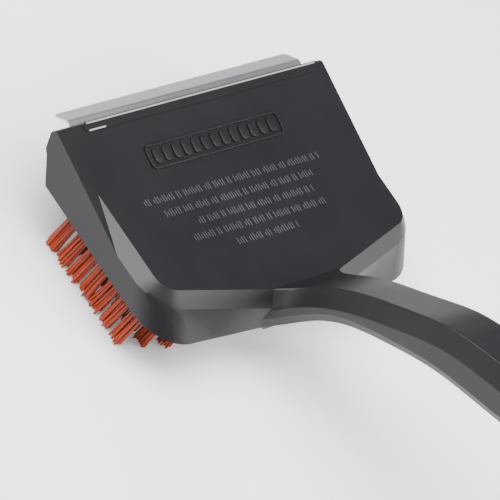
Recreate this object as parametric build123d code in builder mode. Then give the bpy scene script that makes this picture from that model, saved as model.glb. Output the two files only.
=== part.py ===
from build123d import *
import os
from math import cos, hypot, pi, radians, sin, tan

# Grill cleaning brush: a wide moulded head that flows into a long handle, a steel scraper along its
# front edge, and a brush block that tilts down about its front edge once a rear tab is pressed.
# Millimetres. +X runs from the scraper to the handle's end, +Z is up, Y = 0 is the middle plane and
# Z = 0 is the plane of the bristle tips. "Along" is measured from the head's front rim, "height"
# from the rim's own plane.

# ---------- Overall sizes ----------
overall_length = 450.0
head_width = 180.0
head_depth = 90.0
wall = 2.0
tuft_hang = 23.3            # bristle length below the rim

# ---------- Head cover ----------
front_lean = 0.91           # how far the front wall leans forward for each unit of height
knuckle_height = 10.0       # where the front wall steps out below the nose
knuckle_step = (2.1, 1.4)
nose_reach = 15.6
nose_radius = 2.2
crown_height = 18.7         # the front top plane over the front rim
crown_angle = 10.5          # its slope, down towards the handle
eave_height = 10.6          # top of the upright side face at the rear
panel_height = 15.5         # level rear panel
facet_inset = 6.2           # width of the bevel between the side face and the rear panel
rim_corner = 85.2           # where the rim's side and rear lines meet
rim_corner_radius = 22.0
eave_corner = 71.4
eave_corner_radius = 20.0
eave_rear = 91.7
panel_corner_radius = 10.0
ceiling_drop = 1.2          # extra thickness where the walls slope
lip_width = 4.6
lip_rise = 0.4
lip_corner = 1.5
lip_near_gap = 16.7         # plain stretches of the front edge beside the lip
lip_far_gap = 4.0

# ---------- Handle: top and bottom points of its side view, from the rear rim ----------
neck_tops = [(-17.0, 14.2), (-9.0, 16.6), (-1.6, 25.9), (5.4, 34.6), (14.6, 43.6), (35.8, 60.2), (62.0, 76.4)]
neck_bottoms = [(-5.0, 2.2), (0.6, 2.6), (6.6, 11.8), (13.0, 20.8), (22.4, 29.6), (44.0, 43.4), (70.5, 56.2)]
neck_halves = [44.0, 25.5, 18.6, 17.0, 16.5, 16.6, 17.0]   # half width at the widest crease
crown_half = 13.2           # half width of the handle's flat top face
grip_half = 17.4
grip_depth = 22.6
grip_start_angle = 22.5
grip_end_angle = 3.0
grip_stations = 9
shoulder_drop = 8.6         # from the top face down to the widest crease
flank_inset = 1.0           # how much narrower the sides are where they turn under
belly_inset = 4.5           # how much narrower the underside is
belly_rise = 4.0
crease_round = 0.9
parting_drop = 2.3          # joint line of the two shells, below the crease
end_caps = [(5.0, 0.96), (2.2, 0.86), (0.0, 0.62)]         # distance from the end, share of the section

# ---------- Shell screws and hanging hole ----------
post_radius = 4.0
screw_radius = 1.5
screw_head_radius = 3.1
screw_head_height = 2.0
screw_sink = 3.0
screw_cover = 4.0           # plastic left over a screw's tip
screw_stations = [4, 6, 9, 13]
drill_clearance = 0.2
hang_radius = 5.0
hang_seat_radius = 8.0
hang_length = 18.0
hang_from_end = 24.0
cap_back = 1                # the end cap starts this many stations before the grip's last one
spigot_length = 12.0
spigot_clearance = 0.4

# ---------- Scraper ----------
blade_thickness = 1.0
blade_width = 157.0
flange_width = 168.0
flange_length = 14.0
blade_angle = 33.6
blade_reach = 23.2          # tip in front of the front rim
blade_corner = 2.5
bend_radius = 1.6
bend_in_front = 0.9         # how far the bend stands in front of the nose
slot_clearance = 0.15
stake_radius = 2.0
stake_head_radius = 3.5
stake_head_height = 1.2
stake_count = 5
stake_pitch = 36.0
stake_from_end = 5.0        # from the flange's back edge
flange_wide = 9.0           # the flange is wider than the blade over this length
flange_corner = 1.5
stake_clearance = 0.1

# ---------- Brush block ----------
block_low = 1.0
block_high = 9.0
block_clearance = 1.0
toe_clearance = 0.6
row_count = 8
column_count = 14
first_row = 17.5
row_pitch = 8.0
row_stagger = 0.5           # share of the row pitch by which every other column stands back
column_pitch = 12.35
tuft_radius = 2.3
tuft_tip_radius = 3.1
tuft_depth = 5.5            # how deep a tuft sits in the block
tuft_clearance = 0.05
tuft_margin = 1.0           # least plastic between a tuft hole and the block's edge
anchor_length = 4.2
anchor_thickness = 0.5
anchor_height = 2.0

# ---------- Release tab ----------
tab_width = 27.0
tab_thickness = 3.5
tab_hang = 12.5
tab_corner = 8.0
pivot_height = 5.5
pivot_from_rear = 7.0
pin_radius = 1.5
pin_clearance = 0.05
ear_thickness = 2.2
ear_half = 3.0
ear_gap = 0.5
notch_from_rear = 11.5
notch_gap = 1.5
clip_width = 12.0
clip_thickness = 0.6
clip_engagement = 1.0
clip_gap = 0.2
clip_drop = 7.0             # how far the clip runs down the tab
rivet_radius = 1.2
rivet_spacing = 7.0
rivet_head = 0.5
rivet_head_radius = 1.9
spring_wire = 0.7
spring_turns = 2.75          # ends a quarter turn round from where it starts
spring_gap = 0.45           # around the pin and between the turns
spring_leg = 4.3

# ---------- Worked-out places ----------
front_x = blade_reach - overall_length / 2
half_width = head_width / 2
handle_end = overall_length - blade_reach
rim = Plane(origin=(front_x, 0, tuft_hang))
side = Plane(origin=(front_x, 0, tuft_hang), x_dir=(1, 0, 0), z_dir=(0, -1, 0))
crown_tilt = radians(crown_angle)
crown_top = Plane(origin=(front_x, 0, tuft_hang + crown_height), x_dir=(cos(crown_tilt), 0, -sin(crown_tilt)),
                  z_dir=(sin(crown_tilt), 0, cos(crown_tilt)))
eave_along = (crown_height - eave_height) / tan(crown_tilt)
parting_fall = shoulder_drop + parting_drop
inner_eave = eave_height - ceiling_drop
inner_panel = panel_height - wall
facet_run = facet_inset / (panel_height - eave_height)
inner_facet = wall + (inner_panel - inner_eave) * facet_run
front_stretch = hypot(1, front_lean)
block_inset = wall + block_clearance
below = wall + 1.0          # the hollow's tools run this far out below the rim
tuft_top = block_low + tuft_depth
pivot_along = head_depth - pivot_from_rear
notch_along = head_depth - notch_from_rear
ear_inner = tab_width / 2 + ear_gap
clip_face = pivot_along - tab_thickness / 2
notch_half = ear_inner + ear_thickness + notch_gap / 2


def crown(along):
    """Height of the front top plane at a distance along the head."""
    return crown_height - tan(crown_tilt) * along


def outline(height, front, corner, rear, radius, inset=0.0):
    """One level outline of the head, with its two rear corners rounded."""
    with BuildSketch(rim.offset(height)) as level:
        with BuildLine():
            Polyline((front, -half_width), (corner, -half_width), (rear, 0), (corner, half_width),
                     (front, half_width), close=True)
        make_face()
        fillet(level.vertices().filter_by(lambda v: abs(v.X - corner) < 0.01), radius)
        if inset:
            offset(amount=-inset, kind=Kind.INTERSECTION)
    return level.sketch


def wall_outline(height, top=eave_height, front=0.0, inset=0.0):
    """The outline of the upright walls, which lean in from the rim to the eave."""
    share = height / top
    corner = rim_corner + share * (eave_corner - rim_corner)
    rear = head_depth + share * (eave_rear - head_depth)
    radius = rim_corner_radius + share * (eave_corner_radius - rim_corner_radius)
    return outline(height, front, corner, rear, radius, inset)


def panel_outline(height, inset):
    """The outline of the level rear panel."""
    with BuildSketch(rim.offset(height)) as level:
        with BuildLine():
            Polyline((0, -half_width), (eave_corner, -half_width), (eave_rear, 0), (eave_corner, half_width),
                     (0, half_width), close=True)
        make_face()
        offset(amount=-inset, kind=Kind.INTERSECTION)
        fillet(level.vertices().sort_by(Axis.X)[2:4], panel_corner_radius)
    return level.sketch


def side_view(*points):
    """A closed outline in the head's side view."""
    with BuildSketch(side) as view:
        with BuildLine():
            Polyline(*points, close=True)
        make_face()
    return view.sketch


# ---------- The handle's stations ----------
tops = [(head_depth + along, height) for along, height in neck_tops]
bottoms = [(head_depth + along, height) for along, height in neck_bottoms]
halves = neck_halves + [grip_half] * (grip_stations + len(end_caps) - 1)
shares = [1.0] * (len(neck_tops) + grip_stations - 1) + [share for _, share in end_caps]
end_angle = radians(grip_end_angle)
end_overhang = sin(end_angle) * grip_depth * (1 + end_caps[-1][1]) / 2
grip_step = (handle_end - end_overhang - end_caps[0][0] - tops[-1][0]) / grip_stations
for station in range(1, grip_stations + 1):
    angle = radians(grip_start_angle + (grip_end_angle - grip_start_angle) * station / grip_stations)
    along, height = tops[-1]
    tops.append((along + grip_step, height + grip_step * tan(angle)))
    bottoms.append((tops[-1][0] + sin(angle) * grip_depth, tops[-1][1] - cos(angle) * grip_depth))
hang_station = len(neck_tops) + grip_stations - 1
for from_end, share in end_caps[1:]:
    step = end_caps[0][0] - from_end
    for points in (tops, bottoms):
        points.append((points[hang_station][0] + step, points[hang_station][1] + step * tan(end_angle)))


def station_frame(station):
    """Middle and forward direction in the side view, and depth, of the handle at a station."""
    (top_along, top_height), (low_along, low_height) = tops[station], bottoms[station]
    depth = hypot(top_along - low_along, top_height - low_height)
    middle = ((top_along + low_along) / 2, (top_height + low_height) / 2)
    return middle, ((top_height - low_height) / depth, (low_along - top_along) / depth), depth


def handle_section(station, inset=0.0):
    """The eight-sided section of the handle at a station."""
    middle, forward, full_depth = station_frame(station)
    share = shares[station]
    half_depth = full_depth * share / 2
    widest = halves[station] * share
    top_half = widest - (grip_half - crown_half) * share
    right = [(top_half, half_depth), (widest, half_depth - shoulder_drop * share),
             (widest - flank_inset, belly_rise - half_depth), (widest - belly_inset, -half_depth)]
    frame = Plane(origin=side.from_local_coords((*middle, 0)), x_dir=(0, 1, 0), z_dir=(forward[0], 0, forward[1]))
    with BuildSketch(frame) as section:
        with BuildLine():
            Polyline(*right, *[(-across, up) for across, up in reversed(right)], close=True)
        make_face()
        if inset:
            offset(amount=-inset, kind=Kind.INTERSECTION)
        else:
            fillet(section.vertices(), crease_round)
    return section.sketch


def underside(station, back=0.0):
    """The plane on the handle's underside at a station, or some way back from it, facing up."""
    middle, forward, depth = station_frame(station)
    low_along = middle[0] + forward[1] * depth / 2 - forward[0] * back
    low_height = middle[1] - forward[0] * depth / 2 - forward[1] * back
    low = Plane(origin=side.from_local_coords((low_along, low_height, 0)), x_dir=(0, 1, 0),
                z_dir=(-forward[1], 0, forward[0]))
    return low, depth


def parting_point(station):
    """A point of the joint line between the two shells."""
    middle, forward, depth = station_frame(station)
    up = shares[station] * (depth / 2 - parting_fall)
    return middle[0] - forward[1] * up, middle[1] + forward[0] * up


# ---------- The handle as one hollow form ----------
shell_start = 3             # the lower shell and the hollow start at this station
with BuildPart() as handle_form:
    loft([handle_section(station) for station in range(len(tops))])

post_places = [underside(station) for station in screw_stations]
hang_low, hang_depth = underside(hang_station, hang_from_end - end_caps[0][0])
cap_station = hang_station - cap_back
cap_middle, cap_forward, _ = station_frame(cap_station)
cap_plane = Plane(origin=side.from_local_coords((*cap_middle, 0)), x_dir=(0, 1, 0),
                  z_dir=(cap_forward[0], 0, cap_forward[1]))
with BuildPart() as handle_posts:
    for low, depth in post_places:
        with BuildSketch(low.offset(-wall)):
            Circle(post_radius)
        extrude(amount=depth + 2 * wall)
    add(handle_form.part, mode=Mode.INTERSECT)

with BuildPart() as hollow_handle:
    add(handle_form.part)
    split(bisect_by=cap_plane, keep=Keep.BOTTOM)
    loft([handle_section(station, wall) for station in range(shell_start, cap_station + 1)], mode=Mode.SUBTRACT)
    add(handle_posts.part)
    for low, depth in post_places:
        with BuildSketch(low.offset(-wall)):
            Circle(screw_head_radius + drill_clearance)
        extrude(amount=screw_sink + wall, mode=Mode.SUBTRACT)
        with BuildSketch(low):
            Circle(screw_radius)
        extrude(amount=depth - screw_cover, mode=Mode.SUBTRACT)

# ---------- End cap, with the hanging hole ----------
with BuildPart() as hang_post:
    with BuildSketch(hang_low.offset(-wall)):
        Circle(hang_seat_radius + wall)
    extrude(amount=hang_depth + 2 * wall)
    add(handle_form.part, mode=Mode.INTERSECT)

with BuildPart() as end_cap:
    add(handle_form.part)
    split(bisect_by=cap_plane, keep=Keep.TOP)
    loft([handle_section(station, wall) for station in range(cap_station, hang_station + 1)], mode=Mode.SUBTRACT)
    extrude(handle_section(cap_station, wall + spigot_clearance), amount=-spigot_length)
    extrude(handle_section(cap_station, wall / 2), amount=wall)
    extrude(handle_section(cap_station, 2 * wall), amount=-spigot_length, mode=Mode.SUBTRACT)
    extrude(handle_section(cap_station, 2 * wall), amount=wall, mode=Mode.SUBTRACT)
    add(hang_post.part)
    with BuildSketch(hang_low.offset(-wall)):
        Circle(hang_radius)
    extrude(amount=hang_depth + 2 * wall, mode=Mode.SUBTRACT)
    seat_depth = (hang_depth - hang_length) / 2
    for seat in (hang_low.offset(seat_depth - hang_depth), hang_low.offset(hang_depth - seat_depth)):
        with BuildSketch(seat):
            Circle(hang_seat_radius)
        extrude(amount=hang_depth, mode=Mode.SUBTRACT)
end_cap.part.label = "end_cap"

# ---------- Lower shell: the handle below the joint line ----------
join = [parting_point(station) for station in range(shell_start, len(tops))]
start_low = bottoms[shell_start]
reach_down = (join[0][1] - 0.5 * start_low[1]) / (join[0][1] - start_low[1])
floor_along = join[0][0] + (start_low[0] - join[0][0]) * reach_down
floor_height = join[0][1] + (start_low[1] - join[0][1]) * reach_down
past_end = join[-1][0] + grip_depth
with BuildSketch(side) as lower_region:
    with BuildLine():
        Spline(*join)
        Polyline(join[-1], (past_end, join[-1][1]), (past_end, floor_height), (floor_along, floor_height), join[0])
    make_face()

with BuildPart() as lower_shell:
    add(hollow_handle.part)
    extrude(lower_region.sketch, amount=half_width, both=True, mode=Mode.INTERSECT)
    for low, depth in post_places:
        with BuildSketch(low):
            Circle(screw_radius + drill_clearance)
        extrude(amount=depth - parting_fall, mode=Mode.SUBTRACT)
lower_shell.part.label = "lower_shell"

# ---------- Upper shell: head cover and handle top in one moulding ----------
with BuildSketch(side) as nose_view:
    with BuildLine():
        knuckle = (-front_lean * knuckle_height, knuckle_height)
        Polyline((0, 0), knuckle, (knuckle[0] - knuckle_step[0], knuckle[1] + knuckle_step[1]),
                 (-nose_reach, crown(-nose_reach)), (eave_along, eave_height), (eave_along, 0), close=True)
    make_face()
    fillet(nose_view.vertices().sort_by(Axis.X)[0], nose_radius)

with BuildSketch(side) as nose_hollow:
    with BuildLine():
        Polyline((front_lean * below, -below), knuckle, (knuckle[0] - knuckle_step[0], knuckle[1] + knuckle_step[1]),
                 (-nose_reach, crown(-nose_reach)), (eave_along, eave_height), (eave_along, -below), close=True)
    make_face()
    offset(amount=-wall, kind=Kind.INTERSECTION)

stake_along = (flange_length - nose_reach - stake_from_end) / cos(crown_tilt)
stake_places = [(stake_along, (count - (stake_count - 1) / 2) * stake_pitch) for count in range(stake_count)]
flange_low = wall + blade_thickness
lip_front = (nose_radius - nose_reach) / cos(crown_tilt)
with BuildPart() as upper_shell:
    loft([wall_outline(0), wall_outline(eave_height)], ruled=True)
    loft([wall_outline(eave_height), panel_outline(panel_height, facet_inset)], ruled=True)
    extrude(nose_view.sketch, amount=half_width, both=True)
    add(hollow_handle.part)
    extrude(lower_region.sketch, amount=half_width, both=True, mode=Mode.SUBTRACT)
    loft([wall_outline(-below, inner_eave, 0, wall), wall_outline(inner_eave, inner_eave, 0, wall)], ruled=True,
         mode=Mode.SUBTRACT)
    loft([wall_outline(inner_eave, inner_eave, 0, wall), panel_outline(inner_panel, inner_facet)], ruled=True,
         mode=Mode.SUBTRACT)
    extrude(nose_hollow.sketch, amount=half_width - wall, both=True, mode=Mode.SUBTRACT)
    with BuildSketch(crown_top):
        with Locations((lip_front + lip_width / 2, (lip_near_gap - lip_far_gap) / 2)):
            RectangleRounded(lip_width, head_width - lip_near_gap - lip_far_gap, lip_corner)
    extrude(amount=lip_rise)
    with BuildSketch(crown_top.offset(-flange_low - slot_clearance)):
        with Locations((-nose_reach, 0)):
            Rectangle(2 * knuckle_height, blade_width + 2 * slot_clearance)
    extrude(amount=blade_thickness + slot_clearance, mode=Mode.SUBTRACT)
    with BuildSketch(crown_top.offset(-wall)):
        with Locations(*stake_places):
            Circle(stake_radius)
    extrude(amount=-blade_thickness)
    with BuildSketch(crown_top.offset(-flange_low)):
        with Locations(*stake_places):
            Circle(stake_head_radius)
    extrude(amount=-stake_head_height)
    for hand in (-1, 1):
        with BuildSketch(side.offset(hand * (ear_inner + ear_thickness / 2))):
            with Locations((pivot_along, (pivot_height - ear_half + inner_panel) / 2)):
                Rectangle(2 * ear_half, inner_panel - pivot_height + ear_half)
        extrude(amount=ear_thickness / 2, both=True)
    with BuildSketch(side):
        with Locations((pivot_along, pivot_height)):
            Circle(pin_radius)
    extrude(amount=ear_inner + ear_thickness, both=True, mode=Mode.SUBTRACT)
upper_shell.part.label = "upper_shell"

# ---------- Shell screws ----------
with BuildPart() as shell_screws:
    for low, depth in post_places:
        with BuildSketch(low.offset(screw_sink - screw_head_height)):
            Circle(screw_head_radius)
        extrude(amount=screw_head_height)
        with BuildSketch(low.offset(screw_sink)):
            Circle(screw_radius)
        extrude(amount=depth - screw_cover - screw_sink)
shell_screws.part.label = "shell_screws"

# ---------- Scraper ----------
half_thick = blade_thickness / 2
tilt = radians(blade_angle)
flange_mid = (wall + half_thick) / cos(crown_tilt)
bend = (-nose_reach - bend_in_front, crown(-nose_reach - bend_in_front) - flange_mid)
flange_end = (flange_length - nose_reach, crown(flange_length - nose_reach) - flange_mid)
tip_along = half_thick * sin(tilt) - blade_reach
tip = (tip_along, bend[1] + (tip_along - bend[0]) * tan(tilt))
flange_up = (half_thick * sin(crown_tilt), half_thick * cos(crown_tilt))
blade_up = (-half_thick * sin(tilt), half_thick * cos(tilt))
half_turn = (crown_tilt + tilt) / 2
mitre = half_thick / cos(half_turn)
bend_up = (-mitre * sin(tilt - half_turn), mitre * cos(tilt - half_turn))


def above(point, step):
    """A point moved across the sheet, up or down."""
    return point[0] + step[0], point[1] + step[1]


def under(point, step):
    """A point moved the other way across the sheet."""
    return point[0] - step[0], point[1] - step[1]


with BuildSketch(side) as blade_view:
    with BuildLine():
        Polyline(above(flange_end, flange_up), above(bend, bend_up), above(tip, blade_up), under(tip, blade_up),
                 under(bend, bend_up), under(flange_end, flange_up), close=True)
    make_face()
    fillet(blade_view.vertices().sort_by_distance(above(bend, bend_up))[0], bend_radius)
    fillet(blade_view.vertices().sort_by_distance(under(bend, bend_up))[0], bend_radius - blade_thickness)

with BuildPart() as scraper_blade:
    extrude(blade_view.sketch, amount=blade_width / 2, both=True)
    with BuildSketch(crown_top.offset(-flange_low)):
        with Locations((stake_along + stake_from_end - flange_wide / 2, 0)):
            RectangleRounded(flange_wide, flange_width, flange_corner)
    extrude(amount=blade_thickness)
    tip_edges = scraper_blade.edges().filter_by(
        lambda edge: edge.length < 1.01 * blade_thickness and edge.center().X < front_x + tip_along + half_thick)
    fillet(tip_edges.filter_by(lambda edge: abs(edge.center().Y) > blade_width / 2 - 0.01), blade_corner)
    with BuildSketch(crown_top):
        with Locations(*stake_places):
            Circle(stake_radius + stake_clearance)
    extrude(amount=-2 * flange_low, mode=Mode.SUBTRACT)
scraper_blade.part.label = "scraper_blade"

# ---------- Brush block ----------
def block_outline(height):
    """The block's outline at a height, clear of the cover's walls all round."""
    front = -front_lean * height + (wall + toe_clearance) * front_stretch - block_inset
    return wall_outline(height, inner_eave, front, block_inset)


def beside_tab(along, across):
    """Whether a tuft here stays in front of the release tab's notch and clip, or beside them."""
    return (along + tuft_tip_radius < notch_along - clip_engagement
            or abs(across) > notch_half + tuft_tip_radius + tuft_margin)


tuft_area = wall_outline(tuft_top, inner_eave, 0, block_inset + tuft_margin + tuft_radius)
rows = []
for row in range(row_count):
    spots = [(first_row + (row + row_stagger * (column % 2)) * row_pitch,
              (column - (column_count - 1) / 2) * column_pitch) for column in range(column_count)]
    rows.append([spot for spot in spots if beside_tab(*spot) and tuft_area.faces()[0].is_inside(
        rim.offset(tuft_top).from_local_coords((*spot, 0)))])
corner_places = [rows[0][0], rows[0][-1], rows[-1][0], rows[-1][-1]]
all_places = [place for row in rows for place in row]

with BuildPart() as brush_block:
    loft([block_outline(block_low), block_outline(block_high)], ruled=True)
    with BuildSketch(rim):
        with Locations((notch_along + head_depth / 2, 0)):
            Rectangle(head_depth, 2 * notch_half)
    extrude(amount=panel_height, mode=Mode.SUBTRACT)
    with BuildSketch(rim.offset(block_low)):
        with Locations(*all_places):
            Circle(tuft_radius + tuft_clearance)
    extrude(amount=tuft_depth, mode=Mode.SUBTRACT)
brush_block.part.label = "brush_block"


def make_tufts(places):
    """Bundles of filament, straight in the block and spreading below it, slotted for their anchors."""
    with BuildPart() as tufts:
        with BuildSketch(rim.offset(tuft_top)):
            with Locations(*places):
                Circle(tuft_radius)
        extrude(amount=-tuft_depth)
        with Locations(*[rim.offset(-tuft_hang).location * Location((along, y, 0)) for along, y in places]):
            Cone(tuft_tip_radius, tuft_radius, tuft_hang + block_low, align=(Align.CENTER, Align.CENTER, Align.MIN))
        with BuildSketch(rim.offset(tuft_top)):
            with Locations(*places):
                Rectangle(anchor_thickness, 2 * tuft_radius)
        extrude(amount=-anchor_height, mode=Mode.SUBTRACT)
    return tufts.part


def make_anchors(places):
    """Flat wire anchors, one across the root of each tuft."""
    with BuildPart() as anchors:
        with BuildSketch(rim.offset(tuft_top)):
            with Locations(*places):
                Rectangle(anchor_thickness, anchor_length)
        extrude(amount=-anchor_height)
    return anchors.part


tuft_parts = []
for number, row in enumerate(rows, 1):
    row_tufts = make_tufts([place for place in row if place not in corner_places])
    row_tufts.label = f"tuft_row_{number}"
    row_anchors = make_anchors(row)
    row_anchors.label = f"anchor_row_{number}"
    tuft_parts += [row_tufts, row_anchors]
corner_tufts = make_tufts(corner_places)
corner_tufts.label = "corner_tufts"

# ---------- Release tab, its pin, spring and clip ----------
spring_pitch = spring_wire + spring_gap
spring_half = spring_turns * spring_pitch / 2
slot_half = spring_half + spring_wire / 2 + 2 * spring_gap
hook_top = block_low - clip_gap
rivet_places = [(-rivet_spacing / 2, 0), (rivet_spacing / 2, 0)]
clip_plane = Plane(origin=side.from_local_coords((clip_face, hook_top - clip_drop / 2, 0)), x_dir=(0, 1, 0),
                   z_dir=(-1, 0, 0))
with BuildPart() as release_tab:
    with BuildSketch(Plane(origin=side.from_local_coords((clip_face, 0, 0)), x_dir=(0, 1, 0), z_dir=(1, 0, 0))):
        with Locations((0, (pivot_height - tab_hang) / 2)):
            tab_shape = Rectangle(tab_width, pivot_height + tab_hang)
        fillet(tab_shape.vertices().group_by(Axis.Y)[0], tab_corner)
    extrude(amount=tab_thickness)
    with BuildSketch(side):
        with Locations((pivot_along, pivot_height)):
            Circle(ear_half + ear_gap)
    extrude(amount=tab_width / 2, both=True)
    with BuildSketch(side):
        with Locations((pivot_along, pivot_height + ear_half)):
            Rectangle(4 * ear_half, 4 * ear_half)
    extrude(amount=slot_half, both=True, mode=Mode.SUBTRACT)
    with BuildSketch(side):
        with Locations((pivot_along, pivot_height)):
            Circle(pin_radius + pin_clearance)
    extrude(amount=tab_width, both=True, mode=Mode.SUBTRACT)
    with BuildSketch(clip_plane):
        with Locations(*rivet_places):
            Circle(rivet_radius)
    extrude(amount=-tab_thickness, mode=Mode.SUBTRACT)
release_tab.part.label = "release_tab"

with BuildPart() as latch_clip:
    extrude(side_view((clip_face, hook_top), (notch_along - clip_engagement, hook_top),
                      (notch_along - clip_engagement, hook_top - clip_thickness),
                      (clip_face - clip_thickness, hook_top - clip_thickness),
                      (clip_face - clip_thickness, hook_top - clip_drop), (clip_face, hook_top - clip_drop)),
            amount=clip_width / 2, both=True)
    with BuildSketch(clip_plane):
        with Locations(*rivet_places):
            Circle(rivet_radius)
    extrude(amount=clip_thickness, mode=Mode.SUBTRACT)
latch_clip.part.label = "latch_clip"

with BuildPart() as clip_rivets:
    with BuildSketch(clip_plane.offset(-tab_thickness)):
        with Locations(*rivet_places):
            Circle(rivet_radius)
    extrude(amount=tab_thickness + clip_thickness)
    for face in (clip_plane.offset(clip_thickness), clip_plane.offset(-tab_thickness - rivet_head)):
        with BuildSketch(face):
            with Locations(*rivet_places):
                Circle(rivet_head_radius)
        extrude(amount=rivet_head)
clip_rivets.part.label = "clip_rivets"

with BuildPart() as pivot_pin:
    with BuildSketch(side):
        with Locations((pivot_along, pivot_height)):
            Circle(pin_radius)
    extrude(amount=ear_inner + ear_thickness, both=True)
pivot_pin.part.label = "pivot_pin"

coil_radius = pin_radius + spring_gap + spring_wire / 2
coil_points = []
for step in range(round(8 * spring_turns) + 1):
    turn = step * pi / 4
    coil_points.append((pivot_along - coil_radius * sin(turn), pivot_height - coil_radius * cos(turn),
                        spring_half - 2 * spring_half * step / (8 * spring_turns)))
with BuildPart() as tab_spring:
    with BuildLine() as winding:
        coil = Spline(*[side.from_local_coords(point) for point in coil_points])
    with BuildSketch(Plane(origin=coil @ 0, z_dir=coil % 0)) as wire_section:
        Circle(spring_wire / 2)
    sweep()
    extrude(wire_section.sketch, amount=-spring_leg)
    with BuildSketch(Plane(origin=coil @ 1, z_dir=coil % 1)):
        Circle(spring_wire / 2)
    extrude(amount=spring_leg)
tab_spring.part.label = "tab_spring"

# ---------- One STEP file for each piece ----------
os.makedirs("parts", exist_ok=True)
pieces = [upper_shell, lower_shell, end_cap, shell_screws, scraper_blade, pivot_pin, tab_spring, release_tab,
          latch_clip, clip_rivets, brush_block]
for part in [piece.part for piece in pieces] + [corner_tufts] + tuft_parts:
    export_step(part, f"parts/{part.label}.step")
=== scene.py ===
import bpy, math, random
from math import radians
from mathutils import Matrix, Vector


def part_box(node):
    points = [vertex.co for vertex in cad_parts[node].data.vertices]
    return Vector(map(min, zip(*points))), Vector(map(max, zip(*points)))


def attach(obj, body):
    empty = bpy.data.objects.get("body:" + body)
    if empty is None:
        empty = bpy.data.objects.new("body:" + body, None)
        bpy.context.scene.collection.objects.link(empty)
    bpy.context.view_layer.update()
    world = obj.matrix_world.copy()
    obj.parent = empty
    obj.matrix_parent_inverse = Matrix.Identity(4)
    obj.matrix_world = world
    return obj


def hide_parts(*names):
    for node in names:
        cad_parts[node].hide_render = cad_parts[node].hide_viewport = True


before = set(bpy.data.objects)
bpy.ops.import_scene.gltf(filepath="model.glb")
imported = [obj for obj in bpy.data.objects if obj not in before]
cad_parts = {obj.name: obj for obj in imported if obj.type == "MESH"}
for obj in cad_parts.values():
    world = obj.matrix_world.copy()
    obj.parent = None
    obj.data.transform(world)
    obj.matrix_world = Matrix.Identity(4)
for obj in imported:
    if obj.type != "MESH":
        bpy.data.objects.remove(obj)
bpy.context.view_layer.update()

# the front rim's own place in the frame
mm = 0.001
bladeReach = 23.2 * mm  # the blade's tip in front of the rim
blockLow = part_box("brush_block")[0]
coverLow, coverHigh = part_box("upper_shell")
rimHeight = coverLow[2]
headHalf = coverHigh[1]
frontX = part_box("scraper_blade")[0][0] + bladeReach


def place(along, across, up):
    # a point measured in millimetres from the front rim, the middle plane and the rim's plane
    return Vector((frontX + along * mm, across * mm, rimHeight + up * mm))


# The camera
cameraSet = {"lens": 500.0, "sensor": 36.0, "frameWidth": 500, "scale": 2405.0,
             "right": (0.5492, 0.6136, 0.5673), "back": (0.2486, -0.768, 0.5905),
             "aimRight": 203.0, "aimDown": 63.5, "farClip": 50}  # scale is in frame units to the metre


def makeCamera():
    right = Vector(cameraSet["right"]).normalized()
    back = Vector(cameraSet["back"])
    back = (back - right * back.dot(right)).normalized()
    up = back.cross(right)
    nearCorner = place(0, -90, 0)
    aim = nearCorner + (right * cameraSet["aimRight"] - up * cameraSet["aimDown"]) / cameraSet["scale"]
    viewWidth = cameraSet["frameWidth"] / cameraSet["scale"]
    distance = viewWidth * cameraSet["lens"] / cameraSet["sensor"]
    depth = (place(60, -30, 8) - aim).dot(back)
    data = bpy.data.cameras.new("camera")
    data.lens, data.sensor_width = cameraSet["lens"], cameraSet["sensor"]
    data.clip_end = cameraSet["farClip"]
    camera = bpy.data.objects.new("camera", data)
    bpy.context.collection.objects.link(camera)
    turn = Matrix((right, up, back)).transposed().to_4x4()
    camera.matrix_world = Matrix.Translation(aim + back * (distance + depth)) @ turn
    bpy.context.scene.camera = camera
    print("camera placed")


# Studio lights and a pale floor
lightSet = {
    "overhead": {"way": (-0.25, -0.42, 0.88), "far": 1.2, "size": 1.0, "power": 38},
    "top": {"way": (0.3, 0.12, 0.94), "far": 1.2, "size": 0.6, "power": 10},
    "rear": {"way": (0.64, 0.54, 0.54), "far": 1.2, "size": 0.6, "power": 14},
    "farSide": {"way": (0.45, 0.88, 0.12), "far": 1.4, "size": 0.5, "power": 2.5},
}
studioSet = {"glow": 0.34, "glowTint": (0.93, 0.95, 1.0), "floorSize": 12, "floorTone": 0.95,
             "floorRoughness": 0.9, "floorGlow": 0.22}


def makeLights():
    for name, want in lightSet.items():
        data = bpy.data.lights.new(name, "AREA")
        data.shape, data.size, data.energy = "SQUARE", want["size"], want["power"]
        lamp = bpy.data.objects.new(name, data)
        bpy.context.collection.objects.link(lamp)
        way = Vector(want["way"]).normalized()
        lamp.location = place(60, 0, 10) + way * want["far"]
        lamp.rotation_euler = way.to_track_quat("Z", "Y").to_euler()
    world = bpy.data.worlds.new("studio")
    bpy.context.scene.world = world
    world.use_nodes = True
    backdrop = world.node_tree.nodes["Background"]
    backdrop.inputs["Color"].default_value = (*studioSet["glowTint"], 1)
    backdrop.inputs["Strength"].default_value = studioSet["glow"]
    print("lights placed")


def makeFloor():
    bpy.ops.object.select_all(action="DESELECT")
    bpy.ops.mesh.primitive_plane_add(size=studioSet["floorSize"], location=(0, 0, 0))
    floor = bpy.context.object
    floor.name = "studio_floor"
    finish = bpy.data.materials.new("paleFloor")
    finish.use_nodes = True
    shader = finish.node_tree.nodes["Principled BSDF"]
    tone = studioSet["floorTone"]
    shader.inputs["Base Color"].default_value = (tone, tone, tone, 1)
    shader.inputs["Roughness"].default_value = studioSet["floorRoughness"]
    shader.inputs["Emission Color"].default_value = (1, 1, 1, 1)
    shader.inputs["Emission Strength"].default_value = studioSet["floorGlow"]
    floor.data.materials.append(finish)
    print("floor laid")


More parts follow.
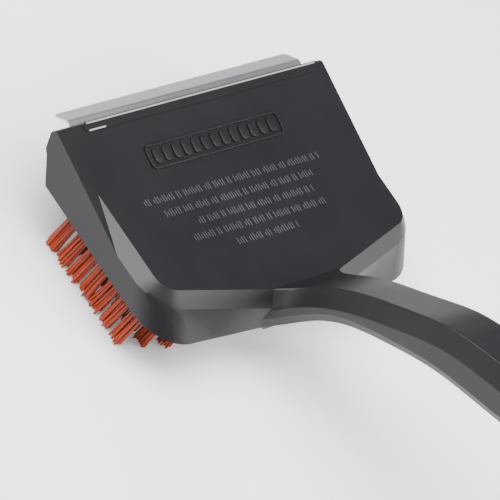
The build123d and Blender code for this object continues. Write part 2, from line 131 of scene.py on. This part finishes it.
# Materials
def startMaterial(name, color, roughness, metallic=0.0):
    finish = bpy.data.materials.new(name)
    finish.use_nodes = True
    shader = finish.node_tree.nodes["Principled BSDF"]
    shader.inputs["Base Color"].default_value = (*color, 1)
    shader.inputs["Roughness"].default_value = roughness
    shader.inputs["Metallic"].default_value = metallic
    return finish, finish.node_tree, shader


def addNode(tree, kind, **values):
    node = tree.nodes.new(kind)
    for key, value in values.items():
        if key in node.inputs:
            node.inputs[key].default_value = value
        else:
            setattr(node, key, value)
    return node


def noiseOn(tree, coords, scale, detail=3.0, stretch=(1, 1, 1)):
    mapping = addNode(tree, "ShaderNodeMapping")
    mapping.inputs["Scale"].default_value = stretch
    tree.links.new(coords, mapping.inputs["Vector"])
    noise = addNode(tree, "ShaderNodeTexNoise", Scale=scale, Detail=detail)
    tree.links.new(mapping.outputs[0], noise.inputs["Vector"])
    return noise.outputs["Fac"]


def rampOn(tree, source, stops):
    ramp = addNode(tree, "ShaderNodeValToRGB")
    while len(ramp.color_ramp.elements) < len(stops):
        ramp.color_ramp.elements.new(0.5)
    for element, (where, color) in zip(ramp.color_ramp.elements, stops):
        element.position = where
        element.color = (*color, 1)
    tree.links.new(source, ramp.inputs[0])
    return ramp.outputs[0]


def rangeOn(tree, source, low, high):
    step = addNode(tree, "ShaderNodeMapRange")
    step.inputs["To Min"].default_value = low
    step.inputs["To Max"].default_value = high
    tree.links.new(source, step.inputs["Value"])
    return step.outputs[0]


def bumpOn(tree, shader, source, strength, distance):
    bump = addNode(tree, "ShaderNodeBump", Strength=strength, Distance=distance)
    tree.links.new(source, bump.inputs["Height"])
    tree.links.new(bump.outputs[0], shader.inputs["Normal"])


plasticSet = {"gloss": 0.38, "grainScale": 2600.0, "cloudScale": 35.0,
              "grainStrength": 0.16, "grainDepth": 0.00012}


def mouldedPlastic(name, dark, light, roughness):
    finish, tree, shader = startMaterial(name, dark, roughness)
    shader.inputs["Specular IOR Level"].default_value = plasticSet["gloss"]
    coords = addNode(tree, "ShaderNodeTexCoord").outputs["Object"]
    cloud = noiseOn(tree, coords, plasticSet["cloudScale"], 5.0)
    grain = noiseOn(tree, coords, plasticSet["grainScale"], 2.0)
    tree.links.new(rampOn(tree, cloud, [(0.3, dark), (0.7, light)]), shader.inputs["Base Color"])
    tree.links.new(rangeOn(tree, cloud, roughness - 0.05, roughness + 0.06), shader.inputs["Roughness"])
    bumpOn(tree, shader, grain, plasticSet["grainStrength"], plasticSet["grainDepth"])
    return finish


steelSet = {"lineScale": 1400.0, "cloudScale": 30.0, "shade": 0.86, "lineStrength": 0.12, "lineDepth": 0.00005}


def brushedSteel(name, color, roughness, stretch):
    finish, tree, shader = startMaterial(name, color, roughness, 1.0)
    coords = addNode(tree, "ShaderNodeTexCoord").outputs["Object"]
    lines = noiseOn(tree, coords, steelSet["lineScale"], 3.0, stretch)
    cloud = noiseOn(tree, coords, steelSet["cloudScale"], 3.0)
    darker = tuple(steelSet["shade"] * part for part in color)
    tree.links.new(rampOn(tree, lines, [(0.3, darker), (0.7, color)]), shader.inputs["Base Color"])
    tree.links.new(rangeOn(tree, cloud, roughness - 0.06, roughness + 0.08), shader.inputs["Roughness"])
    bumpOn(tree, shader, lines, steelSet["lineStrength"], steelSet["lineDepth"])
    return finish


nylonSet = {"roughness": 0.42, "gloss": 0.3, "glow": 0.06, "glowReach": (0.004, 0.0015, 0.0008), "shade": 0.72,
            "fineScale": 1800.0, "fineStretch": (1, 1, 0.1), "fineStrength": 0.15, "fineDepth": 0.00008}


def nylon(name, root, tip):
    finish, tree, shader = startMaterial(name, root, nylonSet["roughness"])
    coords = addNode(tree, "ShaderNodeTexCoord").outputs["Object"]
    split = addNode(tree, "ShaderNodeSeparateXYZ")
    tree.links.new(coords, split.inputs[0])
    # the filaments darken from tip to root by height: painted shade under the brush block and between the tufts
    height = addNode(tree, "ShaderNodeMapRange")
    height.inputs["From Min"].default_value = 0.0
    height.inputs["From Max"].default_value = rimHeight
    tree.links.new(split.outputs["Z"], height.inputs["Value"])
    shade = addNode(tree, "ShaderNodeAttribute", attribute_name="filament")
    blend = addNode(tree, "ShaderNodeMix", data_type="RGBA")
    tree.links.new(height.outputs[0], blend.inputs["Factor"])
    darker = tuple(nylonSet["shade"] * part for part in tip)
    tree.links.new(rampOn(tree, shade.outputs["Fac"], [(0.0, darker), (1.0, tip)]), blend.inputs["A"])
    blend.inputs["B"].default_value = (*root, 1)
    tree.links.new(blend.outputs["Result"], shader.inputs["Base Color"])
    shader.inputs["Specular IOR Level"].default_value = nylonSet["gloss"]
    shader.inputs["Subsurface Weight"].default_value = nylonSet["glow"]
    shader.inputs["Subsurface Radius"].default_value = nylonSet["glowReach"]
    fine = noiseOn(tree, coords, nylonSet["fineScale"], 2.0, nylonSet["fineStretch"])
    bumpOn(tree, shader, fine, nylonSet["fineStrength"], nylonSet["fineDepth"])
    return finish


# Mesh helpers
def onlySelect(piece):
    bpy.ops.object.select_all(action="DESELECT")
    piece.select_set(True)
    bpy.context.view_layer.objects.active = piece


def applyAll(piece):
    onlySelect(piece)
    for change in list(piece.modifiers):
        bpy.ops.object.modifier_apply(modifier=change.name)


meshSet = {"merge": 0.000002, "dissolve": radians(0.6), "bevelFrom": radians(24), "smoothTo": radians(38)}


def copyNode(node, name):
    # a merged copy of a CAD node's mesh
    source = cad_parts[node]
    piece = bpy.data.objects.new(name, source.data.copy())
    bpy.context.collection.objects.link(piece)
    piece.data.materials.clear()
    onlySelect(piece)
    bpy.ops.object.mode_set(mode="EDIT")
    bpy.ops.mesh.select_all(action="SELECT")
    bpy.ops.mesh.remove_doubles(threshold=meshSet["merge"])
    bpy.ops.mesh.dissolve_limited(angle_limit=meshSet["dissolve"])
    bpy.ops.object.mode_set(mode="OBJECT")
    return piece


def roundEdges(piece, width):
    bevel = piece.modifiers.new("rounding", "BEVEL")
    bevel.width, bevel.segments, bevel.limit_method = width, 2, "ANGLE"
    bevel.angle_limit = meshSet["bevelFrom"]
    bevel.harden_normals = False
    bevel.use_clamp_overlap = True
    bevel.miter_outer = "MITER_ARC"
    applyAll(piece)
    onlySelect(piece)
    bpy.ops.object.shade_smooth_by_angle(angle=meshSet["smoothTo"])
    flatten = piece.modifiers.new("flat_faces", "WEIGHTED_NORMAL")
    flatten.mode, flatten.weight, flatten.keep_sharp = "FACE_AREA", 100, True
    applyAll(piece)


def finishPiece(piece, material, body, nodes):
    piece.data.materials.clear()
    piece.data.materials.append(material)
    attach(piece, body)
    if nodes:
        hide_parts(*nodes)


# The cover, the lower shell and the end cap
shellSet = {"rounding": 0.55 * mm}


def makeShells(upperFinish, lowerFinish):
    for node, finish, slotName in (("upper_shell", upperFinish, "cover_plastic"),
                                   ("lower_shell", lowerFinish, "lower_plastic"),
                                   ("end_cap", lowerFinish, "lower_plastic")):
        piece = copyNode(node, node + "_skin")
        roundEdges(piece, shellSet["rounding"])
        finishPiece(piece, finish, "handle", [node])
        print("shell", node, len(piece.data.polygons), "faces")


# Raised marks on the cover
slabSet = {"castFrom": 150, "sink": 0.2 * mm, "roundCorner": 0.5 * mm, "bevelFrom": radians(50),
           "smoothTo": radians(35)}


def seatOn(along, across):
    # a seat on the cover's outer face: its origin, its way along the head, across it, and outwards
    cover = bpy.data.objects["upper_shell_skin"]
    _, spot, normal, _ = cover.ray_cast(place(along, across, slabSet["castFrom"]), Vector((0, 0, -1)))
    acrossWay = Vector((0, 1, 0))
    alongWay = acrossWay.cross(normal).normalized()
    turn = Matrix((alongWay, acrossWay, normal)).transposed().to_4x4()
    return Matrix.Translation(spot) @ turn


def addSlab(name, seat, middle, size, corner, rise, rounding, ring=0.0):
    # a low slab with rounded corners and edges, or only its outline where ring is set
    sink = slabSet["sink"]
    bpy.ops.object.select_all(action="DESELECT")
    bpy.ops.mesh.primitive_plane_add(size=1, location=(0, 0, 0))
    piece = bpy.context.object
    piece.name = name
    piece.scale = (size[0], size[1], 1)
    bpy.ops.object.transform_apply(location=False, rotation=False, scale=True)
    bpy.ops.object.mode_set(mode="EDIT")
    bpy.ops.mesh.select_all(action="SELECT")
    bpy.ops.mesh.bevel(offset=corner, segments=4 if corner > slabSet["roundCorner"] else 1, affect="VERTICES")
    if ring:
        bpy.ops.mesh.select_mode(type="FACE")
        bpy.ops.mesh.select_all(action="SELECT")
        bpy.ops.mesh.inset(thickness=ring)
        bpy.ops.mesh.delete(type="FACE")
    bpy.ops.object.mode_set(mode="OBJECT")
    thick = piece.modifiers.new("thickness", "SOLIDIFY")
    thick.thickness, thick.offset = rise + sink, 1
    soften = piece.modifiers.new("soften", "BEVEL")
    soften.width, soften.segments, soften.limit_method = rounding, 2, "ANGLE"
    soften.angle_limit = slabSet["bevelFrom"]
    applyAll(piece)
    piece.data.transform(seat @ Matrix.Translation((middle[0], middle[1], -sink)))
    return piece


def joinAll(pieces, name):
    onlySelect(pieces[0])
    for piece in pieces:
        piece.select_set(True)
    bpy.ops.object.join()
    joined = bpy.context.object
    joined.name = name
    bpy.ops.object.shade_smooth_by_angle(angle=slabSet["smoothTo"])
    return joined


emblemSet = {"along": 8.2, "length": 11.0 * mm, "width": 89.8 * mm, "corner": 3.0 * mm, "ring": 0.9 * mm,
             "rise": 0.75 * mm, "ringRounding": 0.22 * mm, "bars": 13, "barWidth": 4.6 * mm,
             "barLength": 6.6 * mm, "barPitch": 6.45 * mm, "barCorner": 1.5 * mm, "barRounding": 0.3 * mm}


def makeEmblem(finish):
    # a plain grate motif: upright bars in a rounded outline
    seat = seatOn(emblemSet["along"], 0)
    parts = [addSlab("outline", seat, (0, 0), (emblemSet["length"], emblemSet["width"]), emblemSet["corner"],
                     emblemSet["rise"], emblemSet["ringRounding"], emblemSet["ring"])]
    for bar in range(emblemSet["bars"]):
        across = (bar - (emblemSet["bars"] - 1) / 2) * emblemSet["barPitch"]
        parts.append(addSlab("bar", seat, (0, across), (emblemSet["barLength"], emblemSet["barWidth"]),
                             emblemSet["barCorner"], emblemSet["rise"], emblemSet["barRounding"]))
    finishPiece(joinAll(parts, "grate_emblem"), finish, "handle", [])
    print("emblem done")


beadSet = {"along": -12.6, "width": 0.75 * mm, "rise": 0.45 * mm, "corner": 0.3 * mm, "rounding": 0.2 * mm,
           "nearGap": 18.5 * mm, "farGap": 6.0 * mm, "stepBack": 3.3 * mm, "stepLength": 11.0 * mm,
           "stepRise": 0.27 * mm, "stepRounding": 0.12 * mm}


def makeLipBead(finish):
    # a thin rounded bead along the lip, and the short mark at its near end
    seat = seatOn(beadSet["along"], 0)
    length = 2 * headHalf - beadSet["nearGap"] - beadSet["farGap"]
    middle = (beadSet["nearGap"] - beadSet["farGap"]) / 2
    stepMiddle = beadSet["nearGap"] - headHalf + beadSet["stepLength"] / 2
    parts = [addSlab("bead", seat, (0, middle), (beadSet["width"], length), beadSet["corner"], beadSet["rise"],
                     beadSet["rounding"]),
             addSlab("bead", seat, (beadSet["stepBack"], stepMiddle), (beadSet["width"], beadSet["stepLength"]),
                     beadSet["corner"], beadSet["stepRise"], beadSet["stepRounding"])]
    finishPiece(joinAll(parts, "lip_bead"), finish, "handle", [])
    print("lip bead done")


# each row of ticks: its distance along the head, and the two ends of its run across
tickSet = {"rows": ((27, -62, 56), (34, -54, 46), (41, -38, 40), (48, -47, 43), (55, -24, 17)),
           "length": 3.4 * mm, "width": 0.36 * mm, "rise": 0.4 * mm, "pitch": 1.55, "gap": 1.5,
           "groups": (8, 3, 5, 2, 7, 4, 6, 3, 9, 2), "shortShare": 0.62, "shift": 0.17,
           "corner": 0.12 * mm, "rounding": 0.1 * mm}


def makeTicks(finish):
    # rows of short raised ticks in groups, in place of any writing
    ticks = []
    for along, first, last in tickSet["rows"]:
        seat = seatOn(along, 0)
        across, group, left = first, along % len(tickSet["groups"]), 0
        while across < last:
            if not left:
                left = tickSet["groups"][group % len(tickSet["groups"])]
                group += 1
            share = 1.0 if left % 3 else tickSet["shortShare"]
            shift = tickSet["shift"] * (1 - share) * tickSet["length"]
            ticks.append(addSlab("tick", seat, (shift, across * mm),
                                 (share * tickSet["length"], tickSet["width"]), tickSet["corner"],
                                 tickSet["rise"], tickSet["rounding"]))
            left -= 1
            across += tickSet["pitch"] + (tickSet["gap"] if not left else 0)
    finishPiece(joinAll(ticks, "panel_ticks"), finish, "handle", [])
    print("ticks", len(ticks))


# Tufts of filament
tuftSet = {"rows": 8, "perTuft": 11, "filament": 0.52 * mm, "packRadius": 1.45 * mm, "splay": 0.5 * mm,
           "lean": 0.35 * mm, "goldenTurn": 2.39996, "turnJitter": 0.3, "splayLow": 0.55, "splayHigh": 1.25,
           "tipSlant": 0.35 * mm, "smoothTo": radians(50), "cell": (4 * mm, 6 * mm), "reach": 5 * mm,
           "sides": 6, "pieces": 4, "waviness": 0.22 * mm, "uneven": 2.4 * mm, "root": 3.0 * mm}


def filamentTemplate():
    bpy.ops.object.select_all(action="DESELECT")
    bpy.ops.mesh.primitive_cylinder_add(vertices=tuftSet["sides"], radius=1, depth=1, location=(0, 0, 0))
    pattern = bpy.context.object
    bpy.ops.object.mode_set(mode="EDIT")
    for cut in range(1, tuftSet["pieces"]):
        bpy.ops.mesh.select_all(action="SELECT")
        bpy.ops.mesh.bisect(plane_co=(0, 0, cut / tuftSet["pieces"] - 0.5), plane_no=(0, 0, 1))
    bpy.ops.object.mode_set(mode="OBJECT")
    points = [vert.co.copy() for vert in pattern.data.vertices]
    faces = [tuple(face.vertices) for face in pattern.data.polygons]
    bpy.data.objects.remove(pattern)
    return points, faces


def tuftCentres(node):
    # the middle of each tuft of a CAD node, from its own mesh
    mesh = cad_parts[node].data
    found = {}
    for vert in mesh.vertices:
        if vert.co.z < 0.5 * mm:
            key = (round(vert.co.x / tuftSet["cell"][0]), round(vert.co.y / tuftSet["cell"][1]))
            found.setdefault(key, []).append(vert.co)
    clusters = []
    for group in found.values():
        middle = sum(group, Vector()) / len(group)
        for cluster in clusters:
            if (cluster["at"] - middle).length < tuftSet["reach"]:
                cluster["all"] += group
                break
        else:
            clusters.append({"at": middle, "all": list(group)})
    centres = []
    for cluster in clusters:
        xs = [point.x for point in cluster["all"]]
        ys = [point.y for point in cluster["all"]]
        centres.append(((min(xs) + max(xs)) / 2, (min(ys) + max(ys)) / 2))
    return sorted(centres)


def makeTufts(node, finish, template):
    dice = random.Random("tufts " + node)
    points, faces = template
    verts, allFaces, shades = [], [], []
    top = blockLow[2] + tuftSet["root"]
    for centreX, centreY in tuftCentres(node):
        leanX, leanY = dice.gauss(0, tuftSet["lean"]), dice.gauss(0, tuftSet["lean"])
        for count in range(tuftSet["perTuft"]):
            spread = math.sqrt((count + 0.5) / tuftSet["perTuft"])
            turn = count * tuftSet["goldenTurn"] + dice.uniform(-tuftSet["turnJitter"], tuftSet["turnJitter"])
            rootX = centreX + tuftSet["packRadius"] * spread * math.cos(turn)
            rootY = centreY + tuftSet["packRadius"] * spread * math.sin(turn)
            splay = tuftSet["splay"] * spread * dice.uniform(tuftSet["splayLow"], tuftSet["splayHigh"])
            tipX = rootX + splay * math.cos(turn) + leanX
            tipY = rootY + splay * math.sin(turn) + leanY
            tipZ = dice.uniform(0, 1) ** 2 * tuftSet["uneven"]
            waveX, waveY = dice.gauss(0, tuftSet["waviness"]), dice.gauss(0, tuftSet["waviness"])
            shade = dice.random()
            first = len(verts)
            for point in points:
                share = 0.5 - point.z
                bend = share * share
                wave = math.sin(share * math.pi)
                thick = tuftSet["filament"]
                slant = tuftSet["tipSlant"] * point.x if share > 0.99 else 0
                verts.append((rootX + (tipX - rootX) * bend + waveX * wave + thick * point.x,
                              rootY + (tipY - rootY) * bend + waveY * wave + thick * point.y,
                              max(0.0, top + (tipZ - top) * share + slant)))
            shades += [shade] * len(points)
            allFaces += [tuple(first + index for index in face) for face in faces]
    mesh = bpy.data.meshes.new(node + "_filaments")
    mesh.from_pydata(verts, [], allFaces)
    layer = mesh.attributes.new("filament", "FLOAT", "POINT")
    layer.data.foreach_set("value", shades)
    piece = bpy.data.objects.new(node + "_filaments", mesh)
    bpy.context.collection.objects.link(piece)
    onlySelect(piece)
    bpy.ops.object.shade_smooth_by_angle(angle=tuftSet["smoothTo"])
    finishPiece(piece, finish, "brush_head", [node])
    print("tufts", node, len(mesh.polygons), "faces")


# Everything is made here
makeCamera()
makeLights()
makeFloor()
coverPlastic = mouldedPlastic("coverPlastic", (0.0068, 0.0052, 0.0070), (0.0082, 0.0064, 0.0084), 0.4)
lowerPlastic = mouldedPlastic("lowerPlastic", (0.0072, 0.0060, 0.0066), (0.0088, 0.0072, 0.0080), 0.43)
# the ticks' light grey tone is a painted highlight along their raised tops
tickHighlightPlastic = mouldedPlastic("tickPaintedHighlight", (0.055, 0.052, 0.058), (0.075, 0.072, 0.078), 0.3)
# the bead's light grey tone is a painted highlight along the lip's front edge and its near-end mark
beadHighlightPlastic = mouldedPlastic("beadPaintedHighlight", (0.24, 0.24, 0.25), (0.30, 0.30, 0.31), 0.2)
blockPlastic = mouldedPlastic("blockPlastic", (0.0080, 0.0070, 0.0076), (0.0100, 0.0088, 0.0094), 0.5)
bladeSteel = brushedSteel("bladeSteel", (0.62, 0.62, 0.64), 0.36, (1, 0.03, 1))
screwSteel = brushedSteel("screwSteel", (0.5, 0.5, 0.5), 0.35, (1, 1, 1))
springSteel = brushedSteel("springSteel", (0.55, 0.55, 0.56), 0.3, (1, 1, 1))
# the dark root colour is painted shade under the head; the tip colour is the nylon's own
bristleNylon = nylon("bristleNylon", (0.16, 0.014, 0.005), (0.44, 0.046, 0.009))

makeShells(coverPlastic, lowerPlastic)
makeEmblem(coverPlastic)
# the ticks carry the light grey finish that paints their highlight
makeTicks(tickHighlightPlastic)
# the bead and its near-end mark carry the light grey finish that paints the lip's highlight
makeLipBead(beadHighlightPlastic)
template = filamentTemplate()
for node in [f"tuft_row_{row}" for row in range(1, tuftSet["rows"] + 1)] + ["corner_tufts"]:
    makeTufts(node, bristleNylon, template)

fittingSet = {"scraper_blade": (bladeSteel, 0.16 * mm, "handle", "blade_steel"),
              "release_tab": (lowerPlastic, 0.4 * mm, "tab", "tab_plastic"),
              "brush_block": (blockPlastic, 0.3 * mm, "brush_head", "block_plastic"),
              "latch_clip": (springSteel, 0.08 * mm, "tab", "spring_steel"),
              "clip_rivets": (screwSteel, 0.15 * mm, "tab", "screw_steel"),
              "shell_screws": (screwSteel, 0.25 * mm, "handle", "screw_steel")}
for node, (finish, rounding, body, slotName) in fittingSet.items():
    piece = copyNode(node, node + "_skin")
    roundEdges(piece, rounding)
    finishPiece(piece, finish, body, [node])
print("fittings rounded")

carried = {"pivot_pin": screwSteel, "tab_spring": springSteel}
for row in range(1, tuftSet["rows"] + 1):
    carried[f"anchor_row_{row}"] = springSteel
for node, finish in carried.items():
    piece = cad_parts[node]
    for slotIndex in range(len(piece.material_slots)):
        piece.material_slots[slotIndex].material = finish
print("carried nodes finished")
